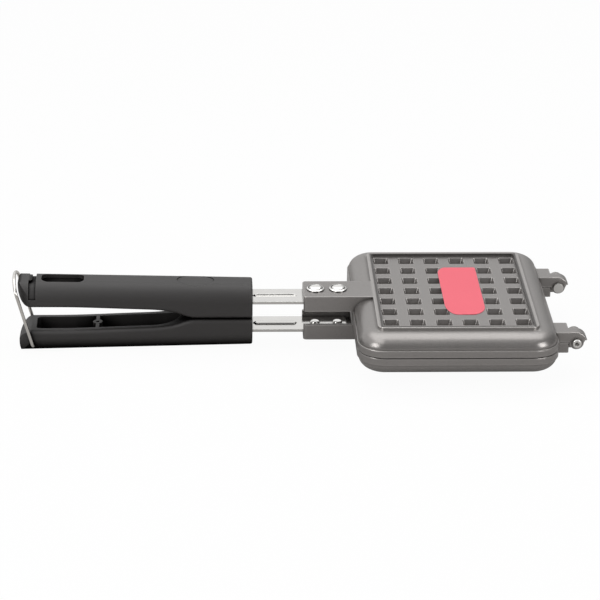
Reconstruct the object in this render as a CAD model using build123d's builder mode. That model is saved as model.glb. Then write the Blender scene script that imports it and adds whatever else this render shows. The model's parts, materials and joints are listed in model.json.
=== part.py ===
from build123d import *
from math import atan2, cos, degrees, radians, sin, sqrt
import os

os.makedirs("parts", exist_ok=True)

# A stovetop waffle pan that opens like a book: two turned copies of one casting, each
# with a riveted steel strap and a hollow moulded handle, closed by a wire bail.
# Frame: the origin is the centre of the lower casting's outer grid face, +Z is up and
# +X points from the handles to the hinges. Lengths are millimetres.

# Waffle grid: pegs inside, with a relief pocket behind each one
grid_columns = 6
grid_rows = 7
grid_pitch = 16.0
pocket_size = 9.5
pocket_floor = 7.2
pocket_corner = 1.1
pocket_depth = 4.0
peg_base = 12.4
peg_top = 9.0
peg_height = 6.4

peg_root = 0.5

# Raised frame round the outer grid
grid_side_margin = 0.65
grid_end_margin = 2.95
frame_height = 1.7
frame_width = 3.3
frame_corner = 4.5
frame_inner_corner = 1.2
frame_edge = 0.4

# Casting, seen from its outer side
frame_side_inset = 12.0
frame_end_inset = 13.0
pan_corner = 16.5
shell_height = 12.8
rim_height = 4.8
rim_lip = 0.9
rim_edge = 0.5
side_inset = 11.1
side_levels = 4
closing_gap = 0.3
cavity_wall = 5.6
cavity_draft = 3.0
floor_thickness = 2.6

# Neck, an open channel that carries the strap
neck_length = 30.5
neck_width = 24.8
neck_height = 10.0
neck_step = 0.1
neck_web = 4.3
neck_corner = 2.0
neck_channel_stop = 0.5

# Strap of bright steel with one pressed bead and a small pip by the handle
strap_width = 20.0
strap_thickness = 1.65
strap_reach = 31.3
strap_tail = 5.6
strap_corner = 3.0
strap_side_gap = 0.2
tang_length = 39.0
bead_length = 26.7
bead_width = 4.4
bead_depth = 0.8
bead_taper = 35.0
bead_inset = 14.3
pip_inset = 1.1
pip_radius = 1.0
pip_depth = 0.9

# Rivets
rivet_inset = 7.7
rivet_pitch = 13.9
rivet_radius = 2.4
rivet_gap = 0.08
rivet_head_radius = 5.45
rivet_head_edge = 0.65
rivet_head_height = 1.9
rivet_rim_width = 1.3
rivet_groove_width = 0.5
rivet_groove_depth = 0.5
rivet_foot_radius = 2.9
rivet_foot_height = 1.5

# Hinges
hinge_reach = 11.8
hinge_inset = 29.6
hinge_width = 15.0
hinge_height = 6.6
hinge_ring = 4.3
hinge_tip_level = 1.6
hinge_gap = 0.3
hinge_edge = 0.9
ear_round = 1.1
pin_radius = 2.0
pin_running_gap = 0.06
pin_side_gap = 0.1
pin_head_radius = 3.2
pin_head_height = 1.9
pin_tail_radius = 2.8
pin_tail_height = 2.2
pin_tail_round = 0.6
pin_tail_bore = 1.3
pin_tail_depth = 3.4

# Handle, a hollow moulding whose outer face splays away from the other handle
handle_length = 144.0
handle_width = 27.0
handle_gap = 0.6
handle_height = 19.6
handle_splay = 3.0
handle_round = 9.5
handle_inner_round = 2.4
handle_end_round = 1.2
handle_tip_nose = 9.0
handle_nose_overrun = 0.1
handle_tip_corner = 3.5
handle_tip_fall = 0.05
handle_mouth_start = 34.5
handle_mouth_depth = 7.4
mouth_runs = (11.0, 35.0, 68.0)
mouth_shares = (0.38, 0.78, 0.95)
handle_slant = 7.8
slant_bulge_run = 2.8
slant_bulge_rise = 3.4
handle_wall = 2.6
hollow_start = 44.5
hollow_tip_inset = 11.0
hollow_width = 17.5
hollow_nose = 16.0
hollow_round = 2.5
rib_tip_inset = 48.5
rib_width = 2.2
rib_boss_radius = 2.9
rib_boss_hole = 1.1
tang_gap = 0.05

# Hanging slot, bail groove and thumb rest, on the upper handle only
slot_tip_inset = 27.6
slot_length = 26.0
slot_width = 12.0
slot_corner = 4.0
groove_width = 4.4
groove_depth = 1.6
groove_side_depth = 0.8
groove_drop = 9.6
thumb_place = 35.0
thumb_length = 23.0
thumb_width = 16.0
thumb_depth = 0.3

# Bail of round wire, standing just clear of the upper handle's tip
bail_tip_inset = 9.2
bail_level = 17.5
bail_wire = 1.0
bail_running_gap = 0.06
bail_end_gap = 0.1
bail_half_span = 14.9
bail_shoulder = 35.0
bail_rise = 43.0
bail_foot_depth = 4.0
bail_bend = 2.2
bail_lean = 15.0

# How far a cut runs past the face that it goes through, and how near counts as the same place
cut_past = 1.0
same_place = 0.01

# Casting, worked out from the grid outwards
frame_length = (grid_columns - 1) * grid_pitch + pocket_size + 2 * (grid_side_margin + frame_width)
frame_depth = (grid_rows - 1) * grid_pitch + pocket_size + 2 * (grid_end_margin + frame_width)
pan_width = frame_length + 2 * frame_side_inset
pan_depth = frame_depth + 2 * frame_end_inset
parting = shell_height
top_face = parting - closing_gap / 2
side_height = shell_height - rim_height
neck_end = -pan_width / 2 - neck_length
neck_channel_end = -pan_width / 2 - neck_channel_stop
neck_face = neck_step - frame_height
web_inside = neck_face + neck_web
hinge_axis = pan_width / 2 + hinge_reach
hinge_spread = pan_depth / 2 - hinge_inset
hinge_block_end = hinge_axis - hinge_ring - hinge_gap
half_turn = (180, 0, 0)

# Strap and handle, placed from the neck's end
rivet_places = (neck_end + rivet_inset, neck_end + rivet_inset + rivet_pitch)
strap_end = rivet_places[1] + strap_tail
handle_start = neck_end - strap_reach
handle_end = handle_start - handle_length
tang_end = handle_start - tang_length
hollow_end = handle_length - hollow_tip_inset
rib_place = handle_length - rib_tip_inset
slot_place = handle_length - slot_tip_inset
bail_place = handle_length - bail_tip_inset


def level_size(angle):
    """Width, depth, corner and height of the casting's curved side at one angle."""
    inset = rim_lip + side_inset * (1 - cos(radians(angle)))
    level = side_height * (1 - sin(radians(angle)))
    return pan_width - 2 * inset, pan_depth - 2 * inset, pan_corner - inset, level


# One waffle peg and one relief pocket, placed at the origin
with BuildPart() as peg:
    with BuildSketch(Plane.XY.offset(floor_thickness - peg_root)):
        Rectangle(peg_base, peg_base)
    with BuildSketch(Plane.XY.offset(floor_thickness + peg_height)):
        Rectangle(peg_top, peg_top)
    loft()

with BuildPart() as pocket:
    with BuildSketch(Plane.XY):
        RectangleRounded(pocket_size, pocket_size, pocket_corner)
    with BuildSketch(Plane.XY.offset(pocket_depth)):
        RectangleRounded(pocket_floor, pocket_floor, pocket_corner * pocket_floor / pocket_size)
    loft()

# Ear of one hinge: it reaches from the block, round the pin, to the stop tip
tip_angle = degrees(atan2(hinge_tip_level, sqrt(hinge_height**2 - hinge_tip_level**2)))
with BuildPart() as ear:
    with BuildSketch(Plane.XZ.offset(-hinge_width / 2)):
        with Locations((hinge_axis - hinge_height / 2, parting - (hinge_height + closing_gap / 2) / 2)):
            Rectangle(hinge_height, hinge_height - closing_gap / 2)
        with BuildLine(Plane.XZ.offset(-hinge_width / 2)):
            nose = CenterArc((hinge_axis, parting), hinge_height, -90, 90 - tip_angle)
            tip = Line(nose @ 1, (hinge_axis, parting - hinge_tip_level))
            Line(tip @ 1, nose @ 0)
        make_face()
        with Locations((hinge_axis, parting)):
            Circle(hinge_ring)
    extrude(amount=hinge_width / 2 - hinge_gap / 2)
    outer_arc = edges().filter_by(GeomType.CIRCLE).filter_by(
        lambda edge: abs(edge.radius - hinge_height) < same_place
        and edge.center().Y > hinge_width / 2 - same_place
    )
    fillet(outer_arc, ear_round)


# Neck with eased edges; its inner end is sunk in the frame and the pan's side
with BuildPart() as neck:
    neck_run = -neck_end - frame_length / 2 + frame_width / 2
    with BuildSketch(Plane.XY.offset(neck_face)):
        with Locations((neck_end + neck_run / 2, 0)):
            Rectangle(neck_run, neck_width)
    extrude(amount=neck_height)
    fillet(edges().filter_by(Axis.Z).group_by(Axis.X)[0], neck_corner)
    face_edges = edges().group_by(Axis.Z)[0].sort_by(Axis.X)[:-1]
    fillet(face_edges, frame_edge)

with BuildPart() as lower_pan:
    # Curved side and rim
    for step in range(side_levels + 1):
        width, depth, corner, level = level_size(90 * step / side_levels)
        with BuildSketch(Plane.XY.offset(level)):
            RectangleRounded(width, depth, corner)
    loft()
    with BuildSketch(Plane.XY.offset(side_height)):
        RectangleRounded(pan_width, pan_depth, pan_corner)
    extrude(amount=top_face - side_height)
    rim_sides = edges().filter_by(lambda edge: abs(abs(edge.center().X) - pan_width / 2) < same_place)
    fillet(rim_sides, rim_edge)

    # Raised frame, a hair above the neck
    with BuildSketch(Plane.XY):
        RectangleRounded(frame_length, frame_depth, frame_corner)
        frame_inside = (frame_length - 2 * frame_width, frame_depth - 2 * frame_width)
        RectangleRounded(*frame_inside, frame_inner_corner, mode=Mode.SUBTRACT)
    extrude(amount=-frame_height)
    ring_edges = edges().group_by(Axis.Z)[0]
    fillet(ring_edges, frame_edge)
    add(neck.part)
    with BuildSketch(Plane.XY.offset(web_inside)):
        channel = neck_channel_end - neck_end + neck_corner
        with Locations((neck_channel_end - channel / 2, 0)):
            Rectangle(channel, strap_width + 2 * strap_side_gap)
    extrude(amount=neck_height, mode=Mode.SUBTRACT)

    # Hinge blocks, cut off short of the pins
    block_start = pan_width / 2 - cavity_wall / 2
    block_height = hinge_height - closing_gap / 2
    for side in (-1, 1):
        with BuildSketch(Plane.XY.offset(top_face)):
            with Locations(((block_start + hinge_block_end) / 2, side * hinge_spread)):
                Rectangle(hinge_block_end - block_start, hinge_width)
        extrude(amount=-block_height)
    block_ends = edges().filter_by(Axis.Z).filter_by(
        lambda edge: abs(edge.center().X - hinge_block_end) < same_place
    )
    fillet(block_ends, hinge_edge)
    with Locations((0, -hinge_spread, 0), (0, hinge_spread, 0)):
        add(ear.part)

    # Cavity with its pegs
    with BuildSketch(Plane.XY.offset(top_face)):
        RectangleRounded(pan_width - 2 * cavity_wall, pan_depth - 2 * cavity_wall, pan_corner - cavity_wall)
    with BuildSketch(Plane.XY.offset(floor_thickness)):
        cavity_floor = cavity_wall + cavity_draft
        floor_size = (pan_width - 2 * cavity_floor, pan_depth - 2 * cavity_floor)
        RectangleRounded(*floor_size, pan_corner - cavity_floor)
    loft(mode=Mode.SUBTRACT)
    with GridLocations(grid_pitch, grid_pitch, grid_columns, grid_rows):
        add(peg.part)
        add(pocket.part, mode=Mode.SUBTRACT)

    # Rivet holes and pin bores
    with Locations([(place, 0, web_inside) for place in rivet_places]):
        Hole(rivet_radius + rivet_gap, depth=neck_web + cut_past)
    with BuildSketch(Plane.XZ.offset(-hinge_spread - hinge_width / 2)):
        with Locations((hinge_axis, parting)):
            Circle(pin_radius + pin_running_gap)
    extrude(amount=2 * hinge_spread + hinge_width, mode=Mode.SUBTRACT)
lower_pan.part.label = "lower_pan"

with BuildPart() as upper_pan:
    with Locations((0, 0, 2 * parting)):
        add(lower_pan.part, rotation=half_turn)
upper_pan.part.label = "upper_pan"

with BuildPart() as lower_strap:
    # Strap with its tang, the pressed bead and the rivet holes
    strap_length = strap_end - tang_end
    with BuildSketch(Plane.XY.offset(web_inside)):
        with Locations((tang_end + strap_length / 2, 0)):
            RectangleRounded(strap_length, strap_width, strap_corner)
        with Locations([(place, 0) for place in rivet_places]):
            Circle(rivet_radius + rivet_gap, mode=Mode.SUBTRACT)
    extrude(amount=strap_thickness)
    bead_centre = handle_start + bead_inset
    with BuildSketch(Plane.XY.offset(web_inside + strap_thickness)):
        with Locations((bead_centre, 0)):
            SlotOverall(bead_length, bead_width)
    extrude(amount=bead_depth, taper=bead_taper)
    with BuildSketch(Plane.XY.offset(web_inside)):
        with Locations((bead_centre, 0)):
            SlotOverall(bead_length, bead_width)
    extrude(amount=bead_depth, taper=bead_taper, mode=Mode.SUBTRACT)
    with BuildSketch(Plane.XY.offset(web_inside)):
        with Locations((handle_start + pip_inset, 0)):
            Circle(pip_radius)
    extrude(amount=pip_depth, mode=Mode.SUBTRACT)
lower_strap.part.label = "lower_strap"

with BuildPart() as upper_strap:
    with Locations((0, 0, 2 * parting)):
        add(lower_strap.part, rotation=half_turn)
upper_strap.part.label = "upper_strap"

# One rivet: domed head outside, shank through web and strap, formed foot inside
foot_level = web_inside + strap_thickness
with BuildPart() as rivet:
    with BuildSketch(Plane.XZ):
        with BuildLine():
            crown = (0, neck_face - rivet_head_height)
            groove = (rivet_head_radius - rivet_rim_width, neck_face - rivet_head_edge)
            rim_inside = (groove[0] + rivet_groove_width, groove[1] - rivet_groove_depth)
            rim_outside = (rivet_head_radius, neck_face - rivet_head_edge)
            Line((0, foot_level + rivet_foot_height), crown)
            Spline(crown, groove, tangents=[(1, 0), (1, 2)])
            Line(groove, rim_inside)
            Line(rim_inside, rim_outside)
            Line(rim_outside, (rivet_head_radius, neck_face))
            Line((rivet_head_radius, neck_face), (rivet_radius, neck_face))
            Line((rivet_radius, neck_face), (rivet_radius, foot_level))
            Line((rivet_radius, foot_level), (rivet_foot_radius, foot_level))
            foot_side = (rivet_foot_radius, foot_level + rivet_foot_height / 2)
            Line((rivet_foot_radius, foot_level), foot_side)
            Spline(foot_side, (0, foot_level + rivet_foot_height), tangents=[(0, 1), (-1, 0)])
        make_face()
    revolve(axis=Axis.Z)

with BuildPart() as lower_rivet_1:
    with Locations((rivet_places[0], 0, 0)):
        add(rivet.part)
lower_rivet_1.part.label = "lower_rivet_1"

with BuildPart() as lower_rivet_2:
    with Locations((rivet_places[1], 0, 0)):
        add(rivet.part)
lower_rivet_2.part.label = "lower_rivet_2"

with BuildPart() as upper_rivet_1:
    with Locations((0, 0, 2 * parting)):
        add(lower_rivet_1.part, rotation=half_turn)
upper_rivet_1.part.label = "upper_rivet_1"

with BuildPart() as upper_rivet_2:
    with Locations((0, 0, 2 * parting)):
        add(lower_rivet_2.part, rotation=half_turn)
upper_rivet_2.part.label = "upper_rivet_2"

# Hinge pins: flat head towards the middle, rolled hollow tail outside
pin_reach = hinge_width / 2 + pin_side_gap
with BuildPart() as pin:
    with BuildSketch(Plane.XZ.offset(pin_reach)):
        Circle(pin_radius)
    extrude(amount=-2 * pin_reach)
    with BuildSketch(Plane.XZ.offset(-pin_reach)):
        Circle(pin_head_radius)
    extrude(amount=-pin_head_height)
    with BuildSketch(Plane.XZ.offset(pin_reach)):
        Circle(pin_tail_radius)
    extrude(amount=pin_tail_height)
    tail_rim = edges().filter_by(GeomType.CIRCLE).sort_by(Axis.Y)[0]
    fillet(tail_rim, pin_tail_round)
    with BuildSketch(Plane.XZ.offset(pin_reach + pin_tail_height)):
        Circle(pin_tail_bore)
    extrude(amount=-pin_tail_depth, mode=Mode.SUBTRACT)

with BuildPart() as near_hinge_pin:
    with Locations((hinge_axis, -hinge_spread, parting)):
        add(pin.part)
near_hinge_pin.part.label = "near_hinge_pin"

with BuildPart() as far_hinge_pin:
    with Locations((hinge_axis, hinge_spread, parting)):
        add(pin.part, rotation=(0, 0, 180))
far_hinge_pin.part.label = "far_hinge_pin"


def handle_point(run, height):
    """A point of the lower handle's side view: run from its inner end, height from the parting plane."""
    return handle_start - run, parting - height


inner_level = handle_gap / 2
mouth_level = inner_level + handle_mouth_depth
outer_level = inner_level + handle_height
tip_level = outer_level + handle_splay

with BuildPart() as handle_blank:
    # Side view with the open mouth and the slanted tip
    with BuildSketch(Plane.XZ.offset(-handle_width / 2)):
        with BuildLine():
            Line(handle_point(0, outer_level), handle_point(0, inner_level))
            Line(handle_point(0, inner_level), handle_point(handle_mouth_start, inner_level))
            mouth_end = handle_point(handle_length - handle_slant, mouth_level)
            Spline(
                handle_point(handle_mouth_start, inner_level),
                *[
                    handle_point(handle_mouth_start + run, inner_level + share * handle_mouth_depth)
                    for run, share in zip(mouth_runs, mouth_shares)
                ],
                mouth_end,
                tangents=[(-1, 0), (-1, 0)],
            )
            slant_end = handle_point(handle_length, tip_level - handle_tip_corner)
            slant_middle = handle_point(handle_length - slant_bulge_run, mouth_level + slant_bulge_rise)
            ThreePointArc(mouth_end, slant_middle, slant_end)
            corner_end = handle_point(handle_length - handle_tip_corner, tip_level - handle_tip_fall)
            TangentArc(slant_end, corner_end, tangent=(-handle_tip_fall, -1))
            Line(corner_end, handle_point(0, outer_level))
        make_face()
    extrude(amount=handle_width)

    # Rounded tip in plan, then a round-shouldered outer side along the whole length
    with BuildSketch(Plane.XY.offset(parting - tip_level - cut_past)):
        with BuildLine():
            nose_start = handle_end + handle_tip_nose
            past_start = handle_start + cut_past
            Line((nose_start, handle_width / 2), (past_start, handle_width / 2))
            Line((past_start, handle_width / 2), (past_start, -handle_width / 2))
            Line((past_start, -handle_width / 2), (nose_start, -handle_width / 2))
            nose_reach = handle_tip_nose + handle_nose_overrun
            EllipticalCenterArc((nose_start, 0), nose_reach, handle_width / 2, 90, arc_size=180)
        make_face()
    extrude(amount=tip_level + 2 * cut_past, mode=Mode.INTERSECT)
    outer_height = parting - outer_level + handle_width * handle_splay / handle_length
    outer_end = Plane(
        origin=(handle_start + handle_width, 0, outer_height),
        x_dir=(0, 1, 0),
        z_dir=(-handle_length, 0, -handle_splay),
    )
    with BuildSketch(outer_end) as outer_section:
        with Locations((0, -handle_width)):
            Rectangle(handle_width, 2 * handle_width)
        fillet(outer_section.vertices().group_by(Axis.Z)[0], handle_round)
    extrude(amount=handle_length + 2 * handle_width, mode=Mode.INTERSECT)

with BuildPart() as handle_hollow:
    # Hollow of a handle: bullet nose towards the pan, floor parallel to the outer face
    with BuildSketch(Plane.XZ.offset(-hollow_width / 2)):
        floor_start = outer_level - handle_wall + handle_splay * hollow_start / handle_length
        floor_end = outer_level - handle_wall + handle_splay * hollow_end / handle_length
        Polygon(
            handle_point(hollow_start, inner_level - cut_past),
            handle_point(hollow_end, inner_level - cut_past),
            handle_point(hollow_end, floor_end),
            handle_point(hollow_start, floor_start),
            align=None,
        )
    extrude(amount=hollow_width)
    with BuildSketch(Plane.XY.offset(parting - tip_level)):
        with BuildLine():
            shoulder = handle_start - hollow_start - hollow_nose
            back = handle_start - hollow_end
            half_width = hollow_width / 2
            Line((shoulder, half_width), (back + hollow_round, half_width))
            RadiusArc((back + hollow_round, half_width), (back, half_width - hollow_round), -hollow_round)
            Line((back, half_width - hollow_round), (back, hollow_round - half_width))
            RadiusArc((back, hollow_round - half_width), (back + hollow_round, -half_width), -hollow_round)
            Line((back + hollow_round, -half_width), (shoulder, -half_width))
            EllipticalCenterArc((shoulder, 0), hollow_nose, half_width, -90, arc_size=180)
        make_face()
    extrude(amount=tip_level + cut_past, mode=Mode.INTERSECT)
    floor_edges = faces().sort_by(Axis.Z)[0].edges()
    fillet(floor_edges, hollow_round)

    # Cross rib and screw boss, left standing in the hollow
    with BuildSketch(Plane.XY.offset(parting - tip_level)):
        with Locations((handle_start - rib_place, 0)):
            Rectangle(rib_width, handle_width)
            Circle(rib_boss_radius)
            Circle(rib_boss_hole, mode=Mode.SUBTRACT)
    extrude(amount=tip_level + cut_past, mode=Mode.SUBTRACT)

with BuildPart() as handle_shell:
    # Both handles alike: eased edges, the hollow and the slot for the strap's tang
    add(handle_blank.part)
    inner_edges = edges().filter_by(
        lambda edge: abs(edge.center().Y) > handle_width / 2 - same_place
        and edge.length > handle_mouth_start / 2
        and edge.center().X > mouth_end[0]
        and edge.center().Z > parting - mouth_level
    )
    fillet(inner_edges, handle_inner_round)
    start_face = faces().sort_by(Axis.X)[-1]
    fillet(start_face.edges(), handle_end_round)
    add(handle_hollow.part, mode=Mode.SUBTRACT)
    with BuildSketch(Plane.XY.offset(web_inside - tang_gap)):
        with Locations((handle_start - tang_length / 2, 0)):
            Rectangle(tang_length + 2 * tang_gap, strap_width + 2 * tang_gap)
    extrude(amount=strap_thickness + 2 * tang_gap, mode=Mode.SUBTRACT)

bail_x = handle_start - bail_place
bail_z = parting - bail_level
foot_reach = handle_width / 2 - bail_foot_depth

with BuildPart() as lower_handle:
    add(handle_shell.part)
    # Blind holes for the bail's feet
    for side in (-1, 1):
        with BuildSketch(Plane.XZ.offset(-side * (foot_reach - bail_end_gap))):
            with Locations((bail_x, bail_z)):
                Circle(bail_wire + bail_running_gap)
        extrude(amount=-side * handle_width, mode=Mode.SUBTRACT)
lower_handle.part.label = "lower_handle"


def outer_face(run):
    """Plane on the upper handle's outer face, at one run from its inner end."""
    height = outer_level + handle_splay * run / handle_length
    return Plane(
        origin=(handle_start - run, 0, parting + height),
        x_dir=(-handle_length, 0, handle_splay),
        z_dir=(handle_splay, 0, handle_length),
    )


# Shallow oval thumb rest: a skin of even depth that follows the rounded outer side
with BuildPart() as thumb_rest:
    with BuildSketch(outer_face(thumb_place)):
        Ellipse(thumb_length / 2, thumb_width / 2)
    extrude(amount=-handle_round)
    core_start = outer_face(thumb_place - thumb_length)
    with BuildSketch(Plane(origin=core_start.origin, x_dir=(0, 1, 0), z_dir=core_start.x_dir)):
        with Locations((0, thumb_depth + 2 * handle_round)):
            RectangleRounded(
                handle_width - 2 * thumb_depth,
                4 * handle_round,
                handle_round - thumb_depth,
            )
    extrude(amount=2 * thumb_length, mode=Mode.SUBTRACT)

with BuildPart() as upper_handle:
    with Locations((0, 0, 2 * parting)):
        add(handle_shell.part, rotation=half_turn)
    # Hanging slot, through the outer wall into the hollow
    with BuildSketch(outer_face(slot_place)):
        RectangleRounded(slot_length, slot_width, slot_corner)
    extrude(amount=-2 * handle_wall, mode=Mode.SUBTRACT)
    # Groove over the outer side, where the bail lies when it is latched
    groove_top = outer_level + handle_splay * bail_place / handle_length
    with BuildSketch(Plane.YZ.offset(bail_x - groove_width / 2)):
        with Locations((0, parting + groove_top - groove_drop / 2)):
            Rectangle(2 * handle_width, groove_drop)
        with Locations((0, parting + groove_top - groove_depth - handle_round)):
            RectangleRounded(
                handle_width - 2 * groove_side_depth,
                2 * handle_round,
                handle_round - groove_side_depth,
                mode=Mode.SUBTRACT,
            )
    extrude(amount=groove_width, mode=Mode.SUBTRACT)
    add(thumb_rest.part, mode=Mode.SUBTRACT)
upper_handle.part.label = "upper_handle"

lean = radians(bail_lean)
bail_plane = Plane(origin=(bail_x, 0, bail_z), x_dir=(0, 1, 0), z_dir=(cos(lean), 0, sin(lean)))
with BuildPart() as bail:
    # One wire: two feet turned inwards, two legs and an arched top
    with BuildLine(bail_plane) as wire:
        leg_end = bail_half_span - bail_bend
        Line((-foot_reach, 0), (-leg_end, 0))
        RadiusArc((-leg_end, 0), (-bail_half_span, bail_bend), bail_bend)
        Line((-bail_half_span, bail_bend), (-bail_half_span, bail_shoulder))
        arch = bail_rise - bail_shoulder
        EllipticalCenterArc((0, bail_shoulder), bail_half_span, arch, 0, arc_size=180)
        Line((bail_half_span, bail_shoulder), (bail_half_span, bail_bend))
        RadiusArc((bail_half_span, bail_bend), (leg_end, 0), bail_bend)
        Line((leg_end, 0), (foot_reach, 0))
    foot_start = bail_plane.from_local_coords(Vector(-foot_reach, 0))
    with BuildSketch(Plane(origin=foot_start, x_dir=(1, 0, 0), z_dir=(0, 1, 0))):
        Circle(bail_wire)
    sweep(path=wire.wires()[0])
bail.part.label = "bail"

export_step(lower_pan.part, "parts/lower_pan.step")
export_step(upper_pan.part, "parts/upper_pan.step")
export_step(lower_strap.part, "parts/lower_strap.step")
export_step(upper_strap.part, "parts/upper_strap.step")
export_step(lower_rivet_1.part, "parts/lower_rivet_1.step")
export_step(lower_rivet_2.part, "parts/lower_rivet_2.step")
export_step(upper_rivet_1.part, "parts/upper_rivet_1.step")
export_step(upper_rivet_2.part, "parts/upper_rivet_2.step")
export_step(near_hinge_pin.part, "parts/near_hinge_pin.step")
export_step(far_hinge_pin.part, "parts/far_hinge_pin.step")
export_step(lower_handle.part, "parts/lower_handle.step")
export_step(upper_handle.part, "parts/upper_handle.step")
export_step(bail.part, "parts/bail.step")
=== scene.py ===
import json
from math import cos, pi, radians, sin

import bmesh
import bpy
from mathutils import Matrix, Vector


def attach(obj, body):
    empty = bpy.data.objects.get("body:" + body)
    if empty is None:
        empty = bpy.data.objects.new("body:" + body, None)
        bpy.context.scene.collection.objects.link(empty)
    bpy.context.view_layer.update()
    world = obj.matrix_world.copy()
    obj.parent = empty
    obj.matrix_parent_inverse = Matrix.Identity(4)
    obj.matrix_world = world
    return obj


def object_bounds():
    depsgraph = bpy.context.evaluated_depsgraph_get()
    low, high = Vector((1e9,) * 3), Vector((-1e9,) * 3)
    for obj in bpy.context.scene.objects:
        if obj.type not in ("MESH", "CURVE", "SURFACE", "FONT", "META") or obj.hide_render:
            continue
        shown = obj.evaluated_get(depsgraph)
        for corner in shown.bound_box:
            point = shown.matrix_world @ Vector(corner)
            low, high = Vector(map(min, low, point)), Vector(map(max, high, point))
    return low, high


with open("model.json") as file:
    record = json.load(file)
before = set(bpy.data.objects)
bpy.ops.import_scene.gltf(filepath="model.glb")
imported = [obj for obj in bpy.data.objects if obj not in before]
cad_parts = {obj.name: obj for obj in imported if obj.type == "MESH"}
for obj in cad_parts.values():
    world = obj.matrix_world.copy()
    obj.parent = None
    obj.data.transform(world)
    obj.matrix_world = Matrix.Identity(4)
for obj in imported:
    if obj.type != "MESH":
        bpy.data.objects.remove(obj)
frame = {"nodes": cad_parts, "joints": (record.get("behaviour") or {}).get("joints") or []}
cad_low, cad_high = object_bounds()

# Camera, fitted to the square waffle grid of the photograph. Metres and degrees.
camera_target = Vector((-0.09236, 0.01434, 0.0135))
camera_distance = 1.5487
camera_yaw = 2.43
camera_elevation = 23.55
camera_roll = 0.8
camera_lens = 148.7
camera_sensor = 36.0

# Painted on the raised frame, in colour only: a dark line of painted shade near the inside of its
# top, and a light band of painted highlight further out. The shade line's sides, near and far are
# distances from the pan's middle, to left and right, towards the camera and away. Each line has a
# reach, over which it fades to nothing.
painted_shade_sides = 0.0459
painted_shade_near = 0.0575
painted_shade_far = 0.0559
painted_shade_reach = 0.0010962
painted_shade_above_foot = 0.0006
painted_shade_foot_fade = 0.0004
highlight_from_shade_line = 0.0018
painted_highlight_reach = 0.0015
plates_meet = 0.0128
frame_foot = 0.0128

# Painted shade in the pip of each strap by its handle: its place along the strap, its size across,
# and how much narrower it is along the strap
pip_run = -0.1211
pip_size = 0.0019
pip_narrowing = 1.9

# Label: a bare coral sheet on the upper grid. Corners run anticlockwise from the far hinge side,
# each with its reach across and along the label.
label_length = 0.0733
label_width = 0.0243
label_corners = ((0.0014, 0.0014), (0.0056, 0.0105), (0.0072, 0.0150), (0.0085, 0.0125))
label_middle = (0.0068, 0.0003)
label_thickness = 0.00012
label_lift = 0.00006

# Floor: how far it reaches each way, and how far under the pan it lies
floor_reach = 12.0
floor_drop = 0.0002

# Light tone of the painted highlights on the casting's edges and raised frame
painted_highlight_tone = (0.56, 0.54, 0.52)
white_tone = (1.0, 1.0, 1.0)


class Value:
    """A socket of a material, so that shader maths reads as plain expressions."""

    def __init__(self, finish, socket):
        self.finish = finish
        self.socket = socket

    def maths(self, operation, first, second):
        return self.finish.node("ShaderNodeMath", {"operation": operation}, {0: first, 1: second})

    def __add__(self, other):
        return self.maths("ADD", self, other)

    def __radd__(self, other):
        return self.maths("ADD", other, self)

    def __sub__(self, other):
        return self.maths("SUBTRACT", self, other)

    def __rsub__(self, other):
        return self.maths("SUBTRACT", other, self)

    def __mul__(self, other):
        return self.maths("MULTIPLY", self, other)

    def __pow__(self, other):
        return self.maths("POWER", self, other)

    def clamped(self):
        """The same value held between 0 and 1."""
        return self.finish.node("ShaderNodeClamp", {}, {"Value": self})

    def size(self):
        """The value without its sign."""
        return self.finish.node("ShaderNodeMath", {"operation": "ABSOLUTE"}, {0: self})

    def larger(self, other):
        """The larger of two values."""
        return self.maths("MAXIMUM", self, other)

    def line(self, middle, reach):
        """1 around a middle value, fading to 0 at a reach from it."""
        return (1.5 - (self - middle).size() * (1.5 / reach)).clamped()


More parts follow.
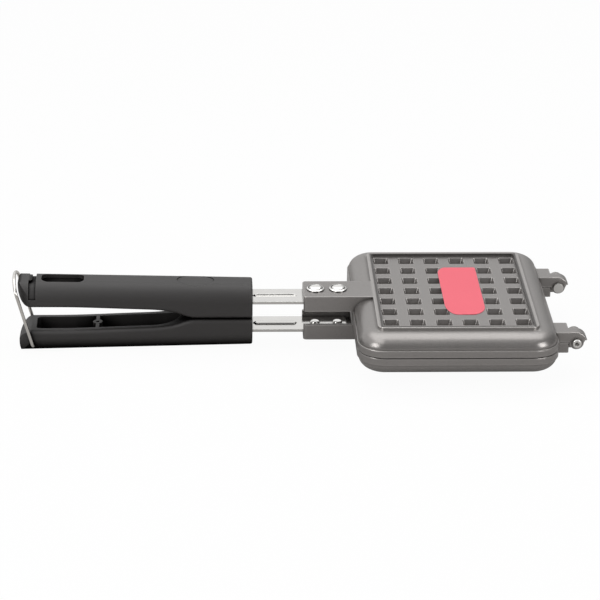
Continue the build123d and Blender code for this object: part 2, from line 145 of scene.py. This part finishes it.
class Finish:
    """A node tree of a material or the world, with one method that adds every node."""

    def __init__(self, tree):
        self.tree = tree

    def node(self, kind, settings, sockets, out=0):
        """Adds a node, sets its settings and then its sockets, and gives one of its outputs."""
        node = self.tree.nodes.new(kind)
        for name, setting in settings.items():
            if name == "stops":
                self.set_stops(node.color_ramp, setting)
            else:
                setattr(node, name, setting)
        for name, value in sockets.items():
            self.put(node.inputs[name], value)
        return None if out is None else Value(self, node.outputs[out])

    def set_stops(self, ramp, stops):
        """Gives a colour ramp its stops, each a place and a colour or a grey."""
        while len(ramp.elements) < len(stops):
            ramp.elements.new(1.0)
        for element, (place, colour) in zip(ramp.elements, stops):
            element.position = place
            if not isinstance(colour, tuple):
                colour = (colour, colour, colour)
            element.color = (*colour, 1)

    def put(self, socket, value):
        """Sets a socket to a constant or links a value to it."""
        if isinstance(value, Value):
            self.tree.links.new(value.socket, socket)
        elif isinstance(value, tuple) and len(value) == 3 and socket.type == "RGBA":
            socket.default_value = (*value, 1)
        else:
            socket.default_value = value

    def noise(self, where, scale, detail):
        """Soft noise from 0 to 1. Scale is in features per metre."""
        sockets = {"Vector": where, "Scale": scale, "Detail": detail}
        return self.node("ShaderNodeTexNoise", {}, sockets)

    def axis(self, where, index):
        """One coordinate of a place: 0, 1 or 2 for X, Y or Z."""
        return self.node("ShaderNodeSeparateXYZ", {}, {"Vector": where}, out=index)

    def blend(self, factor, first, second):
        """A colour between two colours."""
        mixed = {"Factor": factor, 6: first, 7: second}
        return self.node("ShaderNodeMix", {"data_type": "RGBA"}, mixed, out=2)

    def ramp(self, value, stops):
        """A colour ramp read at a value."""
        return self.node("ShaderNodeValToRGB", {"stops": stops}, {"Fac": value})

    def openness(self, distance, **settings):
        """1 where nothing stands within the distance, less in corners and hollows."""
        settings["samples"] = 8
        sockets = {"Distance": distance}
        return self.node("ShaderNodeAmbientOcclusion", settings, sockets, out=1)

    def looked_at(self):
        """Two masks: rays that see a backdrop, straight or by gloss or glass, and gloss alone."""
        names = ("Is Camera Ray", "Is Glossy Ray", "Is Transmission Ray")
        eye, glossy, glass = (self.node("ShaderNodeLightPath", {}, {}, out=name) for name in names)
        return (eye + glossy + glass).clamped(), glossy


class Material(Finish):
    """A surface on the Principled shader."""

    def __init__(self, name, **constants):
        self.material = bpy.data.materials.new(name)
        self.material.use_nodes = True
        super().__init__(self.material.node_tree)
        self.shader = self.tree.nodes["Principled BSDF"]
        self.surface(**constants)
        self.place = self.node("ShaderNodeTexCoord", {}, {}, out=3)

    def surface(self, **sockets):
        """Sets the shader's sockets, with spaces written as underscores."""
        for name, value in sockets.items():
            self.put(self.shader.inputs[name.replace("_", " ")], value)

    def stretched(self, x, y, z):
        """The place on the object, scaled along each axis."""
        return self.node("ShaderNodeMapping", {}, {"Vector": self.place, "Scale": (x, y, z)})

    def soft_edges(self, radius):
        """A normal that rounds every sharp edge over this radius."""
        return self.node("ShaderNodeBevel", {"samples": 6}, {"Radius": radius})

    def crease_mask(self, distance, gain):
        """1 deep in corners and hollows, 0 on open faces."""
        return ((1 - self.openness(distance)) * gain).clamped()

    def edge_mask(self, distance, gain):
        """1 along outward edges, sharp or rounded, and 0 on open faces."""
        return ((1 - self.openness(distance, inside=True, only_local=True)) * gain).clamped()

    def shadowed(self, mask):
        """Painted shade: dulls the surface to a dark ground where the mask is high, gloss and all.
        """
        ground = self.node("ShaderNodeBsdfDiffuse", {}, {"Color": (0.002, 0.0019, 0.0018)})
        shaders = {0: mask, 1: Value(self, self.shader.outputs[0]), 2: ground}
        whole = self.node("ShaderNodeMixShader", {}, shaders)
        self.put(self.tree.nodes["Material Output"].inputs["Surface"], whole)

    def bump(self, height, strength, distance, normal):
        """A normal roughened by a height."""
        sockets = {"Strength": strength, "Distance": distance, "Height": height, "Normal": normal}
        return self.node("ShaderNodeBump", {}, sockets)


def frame_painted_lines(coat):
    """Masks of the painted shade line and the painted highlight band round the raised frame."""
    past_side = coat.axis(coat.place, 0).size() - painted_shade_sides
    depth = coat.axis(coat.place, 1)
    past_shade_line = past_side.larger(0 - depth - painted_shade_near).larger(depth - painted_shade_far)
    above_foot = (coat.axis(coat.place, 2) - plates_meet).size() - frame_foot
    on_top = ((above_foot - painted_shade_above_foot) * (1 / painted_shade_foot_fade)).clamped()
    return past_shade_line.line(0, painted_shade_reach) * on_top, past_shade_line.line(highlight_from_shade_line, painted_highlight_reach)


def casting_coat():
    """Warm grey metallic coat with fine sparkle, painted shade in corners, painted edge
    highlights.
    """
    coat = Material("casting_coat", Metallic=0.72, IOR=1.45)
    soft = coat.soft_edges(0.0004)
    edge = coat.edge_mask(0.0009, 2.4)
    painted_shade, painted_highlight = frame_painted_lines(coat)
    # Painted shade in corners and hollows, held back under the painted highlight band
    crease = coat.crease_mask(0.0020, 1.6) * (1 - painted_highlight * 0.75)
    cloud = coat.noise(coat.place, 60, 3)
    grain = coat.noise(coat.place, 2600, 2)
    sparkle = coat.ramp(coat.noise(coat.place, 3400, 1), [(0.60, 0.0), (0.74, 1.0)])
    pit = coat.ramp(coat.noise(coat.place, 900, 2), [(0.27, 1.0), (0.34, 0.0)])
    tone = coat.blend(cloud, (0.232, 0.220, 0.213), (0.252, 0.240, 0.232))
    tone = coat.blend(sparkle * 0.30, tone, (0.52, 0.49, 0.47))
    tone = coat.blend(pit * 0.35, tone, (0.09, 0.08, 0.075))
    # Painted highlights on the outward edges
    tone = coat.blend(edge * 0.45, tone, painted_highlight_tone)
    # Painted highlight band and painted shade line round the raised frame
    tone = coat.blend(painted_highlight * 0.30, tone, painted_highlight_tone)
    tone = coat.blend(painted_shade * 0.88, tone, (0.040, 0.036, 0.033))
    # Painted shade in corners, hollows and between parts
    tone = coat.blend(crease * 0.75, tone, (0.035, 0.031, 0.028))
    coat.surface(Base_Color=tone, Roughness=0.27 + grain * 0.08 - sparkle * 0.08 - edge * 0.04)
    coat.surface(Normal=coat.bump(grain, 0.10, 0.00008, soft))
    return coat.material


def handle_moulding():
    """Black-brown phenolic moulding, satin, with faint flow marks."""
    moulding = Material("handle_moulding", Specular_IOR_Level=0.5, IOR=1.5)
    soft = moulding.soft_edges(0.0006)
    edge = moulding.edge_mask(0.0010, 1.6)
    crease = moulding.crease_mask(0.014, 1.9)
    flow = moulding.noise(moulding.stretched(18, 120, 120), 1, 3)
    grain = moulding.noise(moulding.place, 2600, 1)
    tone = moulding.blend(flow, (0.0165, 0.0148, 0.0144), (0.0215, 0.0198, 0.0194))
    # Painted highlights on the outward edges
    tone = moulding.blend(edge * 0.25, tone, (0.085, 0.080, 0.078))
    moulding.surface(Base_Color=tone, Roughness=0.46 + flow * 0.08 + grain * 0.05)
    moulding.surface(Normal=moulding.bump(grain, 0.06, 0.0001, soft))
    # Painted shade in hollows and between the two handles
    moulding.shadowed(crease * 0.97)
    return moulding.material


def pip_mask(steel):
    """1 inside the pip of a strap, fading to 0 at its edge."""
    along = (steel.axis(steel.place, 0) - pip_run) * pip_narrowing
    from_pip = along**2 + steel.axis(steel.place, 1) ** 2
    return (1.6 - from_pip * (1.4 / pip_size**2)).clamped()


def bright_steel(
    name, colour, roughness, lines_along, edge_radius, crease=(0.0012, 0.7), pip=False
):
    """Polished steel with faint lines along one direction, painted shade in its corners and its
    pip.
    """
    steel = Material(name, Metallic=1.0)
    soft = steel.soft_edges(edge_radius)
    # Painted shade in corners and hollows
    dark = steel.crease_mask(*crease) * 0.9
    lines = steel.noise(steel.stretched(*lines_along), 1, 2)
    cloud = steel.noise(steel.place, 90, 2)
    tone = steel.blend(cloud, colour, tuple(0.90 * part for part in colour))
    steel.surface(Base_Color=tone, Roughness=roughness + lines * 0.05)
    steel.surface(Normal=steel.bump(lines, 0.03, 0.00005, soft))
    if pip:
        # Painted shade in the pip
        dark = dark.larger(pip_mask(steel) * 0.97)
    steel.shadowed(dark)
    return steel.material


def label_paper():
    """Coral paper, satin, with a slight tooth."""
    paper = Material("label_paper", IOR=1.45)
    tooth = paper.noise(paper.place, 900, 2)
    cloud = paper.noise(paper.place, 30, 2)
    tone = paper.blend(cloud, (0.79, 0.120, 0.162), (0.82, 0.131, 0.174))
    paper.surface(Base_Color=tone, Roughness=0.45 + tooth * 0.08)
    soft = paper.soft_edges(0.0002)
    paper.surface(Normal=paper.bump(tooth, 0.05, 0.0001, soft))
    return paper.material


def strap_steel():
    colour, lines_along = (0.72, 0.71, 0.69), (30, 900, 900)
    return bright_steel("strap_steel", colour, 0.12, lines_along, 0.0004, pip=True)


def rivet_steel():
    colour, lines_along = (0.84, 0.83, 0.81), (400, 400, 400)
    return bright_steel("rivet_steel", colour, 0.14, lines_along, 0.0003, crease=(0.0014, 2.0))


def pin_steel():
    return bright_steel("pin_steel", (0.80, 0.79, 0.77), 0.27, (500, 60, 500), 0.0003)


def wire_nickel():
    return bright_steel("wire_nickel", (0.70, 0.68, 0.65), 0.22, (800, 800, 60), 0.0002)


# Each finish with the CAD pieces that wear it
rivets = ("lower_rivet_1", "lower_rivet_2", "upper_rivet_1", "upper_rivet_2")
for finish, pieces in (
    (casting_coat, ("lower_pan", "upper_pan")),
    (handle_moulding, ("lower_handle", "upper_handle")),
    (strap_steel, ("lower_strap", "upper_strap")),
    (rivet_steel, rivets),
    (pin_steel, ("near_hinge_pin", "far_hinge_pin")),
    (wire_nickel, ("bail",)),
):
    material = finish()
    for piece in pieces:
        materials = frame["nodes"][piece].data.materials
        materials.clear()
        materials.append(material)


def rounded_outline(length, width, corners, steps=12):
    """Points of a rectangle with oval corners, anticlockwise from the +X +Y corner."""
    points = []
    sides = ((1, 1), (-1, 1), (-1, -1), (1, -1))
    for turn, ((side_x, side_y), (across, along)) in enumerate(zip(sides, corners)):
        middle_x = side_x * (width / 2 - across)
        middle_y = side_y * (length / 2 - along)
        for step in range(steps + 1):
            angle = pi / 2 * (turn + step / steps)
            points.append((middle_x + across * cos(angle), middle_y + along * sin(angle)))
    return points


def make_label():
    """The bare label: a thin sheet with three round corners and one nearly square."""
    # The lid's hinge axis lies halfway up between the two outer grids, the lower of them at Z 0
    grid_face = 2 * frame["joints"][0]["pos_m"][2]
    mesh = bpy.data.meshes.new("label")
    shape = bmesh.new()
    outline = rounded_outline(label_length, label_width, label_corners)
    bottom = [shape.verts.new((x, y, label_lift)) for x, y in outline]
    face = shape.faces.new(bottom)
    raised = bmesh.ops.extrude_face_region(shape, geom=[face])
    tops = [vertex for vertex in raised["geom"] if isinstance(vertex, bmesh.types.BMVert)]
    bmesh.ops.translate(shape, vec=(0, 0, label_thickness), verts=tops)
    bmesh.ops.recalc_face_normals(shape, faces=shape.faces)
    shape.to_mesh(mesh)
    shape.free()
    label = bpy.data.objects.new("label", mesh)
    bpy.context.scene.collection.objects.link(label)
    label.matrix_world = Matrix.Translation((*label_middle, grid_face))
    mesh.materials.append(label_paper())
    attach(label, "lid")


def make_floor():
    """Pale floor that the pan stands on. Gloss sees it darker close to the pan, a painted shadow.
    """
    mesh = bpy.data.meshes.new("floor")
    sides = ((-1, -1), (1, -1), (1, 1), (-1, 1))
    corners = [(x * floor_reach, y * floor_reach, 0) for x, y in sides]
    mesh.from_pydata(corners, [], [(0, 1, 2, 3)])
    floor = bpy.data.objects.new("floor", mesh)
    bpy.context.scene.collection.objects.link(floor)
    floor.location.z = cad_low.z - floor_drop
    material = bpy.data.materials.new("floor_paint")
    material.use_nodes = True
    paint = Finish(material.node_tree)
    paint.tree.nodes.clear()
    seen, glossy = paint.looked_at()
    ground = paint.node("ShaderNodeBsdfDiffuse", {}, {"Color": (0.80, 0.80, 0.80)})
    # For gloss the floor is dimmer, with a painted shadow close to the pan
    stops = [(0.0, (0.03, 0.029, 0.028)), (0.97, (0.52, 0.51, 0.50))]
    tone = paint.blend(glossy, white_tone, paint.ramp(paint.openness(0.09), stops))
    white = paint.node("ShaderNodeEmission", {}, {"Color": tone, "Strength": 1.0})
    mixed = paint.node("ShaderNodeMixShader", {}, {0: seen * 0.955, 1: ground, 2: white})
    paint.node("ShaderNodeOutputMaterial", {}, {"Surface": mixed}, out=None)
    mesh.materials.append(material)


def make_world():
    """Surroundings: white to the eye. Gloss sees them bright above and behind, dim in front."""
    world = bpy.data.worlds.new("studio")
    bpy.context.scene.world = world
    world.use_nodes = True
    air = Finish(world.node_tree)
    air.tree.nodes.clear()
    direction = air.node("ShaderNodeTexCoord", {}, {}, out=0)
    across, depth, height = (air.axis(direction, index) for index in range(3))
    seen, glossy = air.looked_at()
    back = (height + depth * 0.75 - across * 0.5).clamped()
    reflected = air.ramp(back, [(0.0, 0.14), (0.35, 0.22), (0.62, 0.55), (1.0, 1.0)])
    sky = air.ramp(height, [(0.0, 0.30), (0.25, 0.42), (0.8, 0.55)])
    soft = air.node("ShaderNodeBackground", {}, {"Color": sky, "Strength": 0.42})
    tone = air.blend(glossy, white_tone, reflected)
    white = air.node("ShaderNodeBackground", {}, {"Color": tone, "Strength": 1.0})
    mixed = air.node("ShaderNodeMixShader", {}, {0: seen, 1: soft, 2: white})
    air.node("ShaderNodeOutputWorld", {}, {"Surface": mixed}, out=None)


def softbox(name, place, aim, width, height, power):
    """A rectangular soft light at a place, aimed at a point."""
    data = bpy.data.lights.new(name, "AREA")
    data.shape = "RECTANGLE"
    data.size = width
    data.size_y = height
    data.energy = power
    lamp = bpy.data.objects.new(name, data)
    bpy.context.scene.collection.objects.link(lamp)
    lamp.location = place
    lamp.rotation_mode = "QUATERNION"
    lamp.rotation_quaternion = (Vector(aim) - Vector(place)).to_track_quat("-Z", "Y")


def make_camera():
    """The photograph's camera, aimed and rolled as fitted."""
    yaw = radians(camera_yaw)
    elevation = radians(camera_elevation)
    roll = radians(camera_roll)
    forward = Vector((sin(yaw) * cos(elevation), cos(yaw) * cos(elevation), -sin(elevation)))
    level_right = Vector((cos(yaw), -sin(yaw), 0))
    level_up = level_right.cross(forward)
    right = level_right * cos(roll) + level_up * sin(roll)
    up = level_up * cos(roll) - level_right * sin(roll)
    data = bpy.data.cameras.new("camera")
    data.lens = camera_lens
    data.sensor_width = camera_sensor
    data.clip_start = 0.05
    data.clip_end = 40.0
    camera = bpy.data.objects.new("camera", data)
    bpy.context.scene.collection.objects.link(camera)
    axes = Matrix((right, up, -forward)).transposed().to_4x4()
    camera.matrix_world = Matrix.Translation(camera_target - forward * camera_distance) @ axes
    bpy.context.scene.camera = camera


make_label()
make_floor()
make_world()
softbox("overhead_softbox", (-0.05, 0.44, 1.1), (-0.05, 0.44, 0.0), 1.5, 1.12, 8.6)
softbox("handle_softbox", (-0.46, -0.50, 1.1), (-0.46, -0.50, 0.0), 0.68, 0.76, 2.6)
softbox("left_strip", (-0.95, -0.85, 0.62), (-0.09, 0.0, 0.62), 0.62, 0.9, 9.5)
softbox("right_strip", (0.87, -0.85, 0.62), (-0.09, 0.0, 0.62), 0.62, 0.9, 9.5)
make_camera()
bpy.context.scene.view_settings.view_transform = "Standard"
